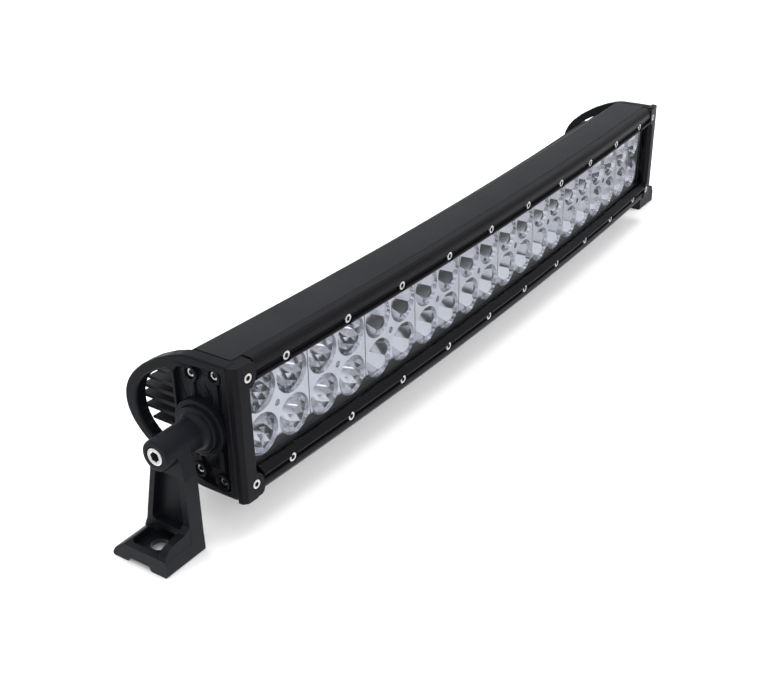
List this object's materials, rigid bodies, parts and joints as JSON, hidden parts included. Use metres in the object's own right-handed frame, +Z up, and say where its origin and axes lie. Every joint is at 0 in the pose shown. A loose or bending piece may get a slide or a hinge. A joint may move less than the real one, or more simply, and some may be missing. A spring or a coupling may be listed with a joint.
{
  "type": "led light bar",
  "caption": "Curved dual-row LED light bar in a finned black housing, with faceted reflector cups behind a clear lens, carried on two swivel feet",
  "frame": {"origin": "on the mounting plane under the feet, midway between them and midway between the front and back of the lamp", "axes": "+X along the bar to the right end as seen from in front, -Y the way the light is thrown, +Z up from the mounting plane"},
  "size_m": [0.6168, 0.0858, 0.0988],
  "materials": {
    "housing_black": "semi-matt black powder coat on extruded aluminium",
    "cap_black": "satin black powder coat on die-cast aluminium",
    "strip_black": "satin black anodised aluminium",
    "bracket_black": "satin black powder coat on cast aluminium",
    "lens_clear": "clear polished polycarbonate",
    "reflector_silver": "vacuum-metallised moulded reflector",
    "stainless": "bright stainless steel",
    "rubber_black": "matt black rubber",
    "board_white": "white solder mask",
    "board_green": "green circuit board"
  },
  "bodies": {
    "left_mount": {"bracket_left": "bracket_black", "pivot_bolt_left": "stainless"},
    "lamp": {"housing": "housing_black", "end_cap_left": "cap_black", "end_cap_right": "cap_black", "end_cap_gasket_left": "rubber_black", "end_cap_gasket_right": "rubber_black", "top_strip": "strip_black", "bottom_strip": "strip_black", "side_bezel_left": "strip_black", "side_bezel_right": "strip_black", "lens": "lens_clear", "lens_gasket": "rubber_black", "led_board": "board_white", "driver_board": "board_green", "power_lead": "rubber_black", "top_strip_screw_01": "stainless", "top_strip_screw_02": "stainless", "top_strip_screw_03": "stainless", "top_strip_screw_04": "stainless", "top_strip_screw_05": "stainless", "top_strip_screw_06": "stainless", "top_strip_screw_07": "stainless", "top_strip_screw_08": "stainless", "top_strip_screw_09": "stainless", "top_strip_screw_10": "stainless", "bottom_strip_screw_01": "stainless", "bottom_strip_screw_02": "stainless", "bottom_strip_screw_03": "stainless", "bottom_strip_screw_04": "stainless", "bottom_strip_screw_05": "stainless", "bottom_strip_screw_06": "stainless", "bottom_strip_screw_07": "stainless", "bottom_strip_screw_08": "stainless", "bottom_strip_screw_09": "stainless", "bottom_strip_screw_10": "stainless", "bezel_screw_left_top": "stainless", "bezel_screw_left_bottom": "stainless", "bezel_screw_right_top": "stainless", "bezel_screw_right_bottom": "stainless", "cap_screw_left_1": "stainless", "cap_screw_left_2": "stainless", "cap_screw_left_3": "stainless", "cap_screw_left_4": "stainless", "cap_screw_right_1": "stainless", "cap_screw_right_2": "stainless", "cap_screw_right_3": "stainless", "cap_screw_right_4": "stainless", "reflector_01": "reflector_silver", "reflector_02": "reflector_silver", "reflector_03": "reflector_silver", "reflector_04": "reflector_silver", "reflector_05": "reflector_silver", "reflector_06": "reflector_silver", "reflector_07": "reflector_silver", "reflector_08": "reflector_silver", "reflector_09": "reflector_silver", "reflector_10": "reflector_silver"},
    "right_mount": {"bracket_right": "bracket_black", "pivot_bolt_right": "stainless"}
  },
  "joints": [
    {"name": "lamp_tilt", "type": "hinge", "parent": "left_mount", "child": "lamp", "pos_m": [0, -0.01022, 0.06], "axis": [1, 0, 0], "range_deg": [-60, 60]},
    {"name": "right_bracket_swivel", "type": "hinge", "parent": "lamp", "child": "right_mount", "pos_m": [0, -0.01022, 0.06], "axis": [1, 0, 0], "range_deg": [-60, 60]}
  ],
  "couplings": [
    {"joint": "right_bracket_swivel", "follows": "lamp_tilt", "ratio": -1}
  ]
}
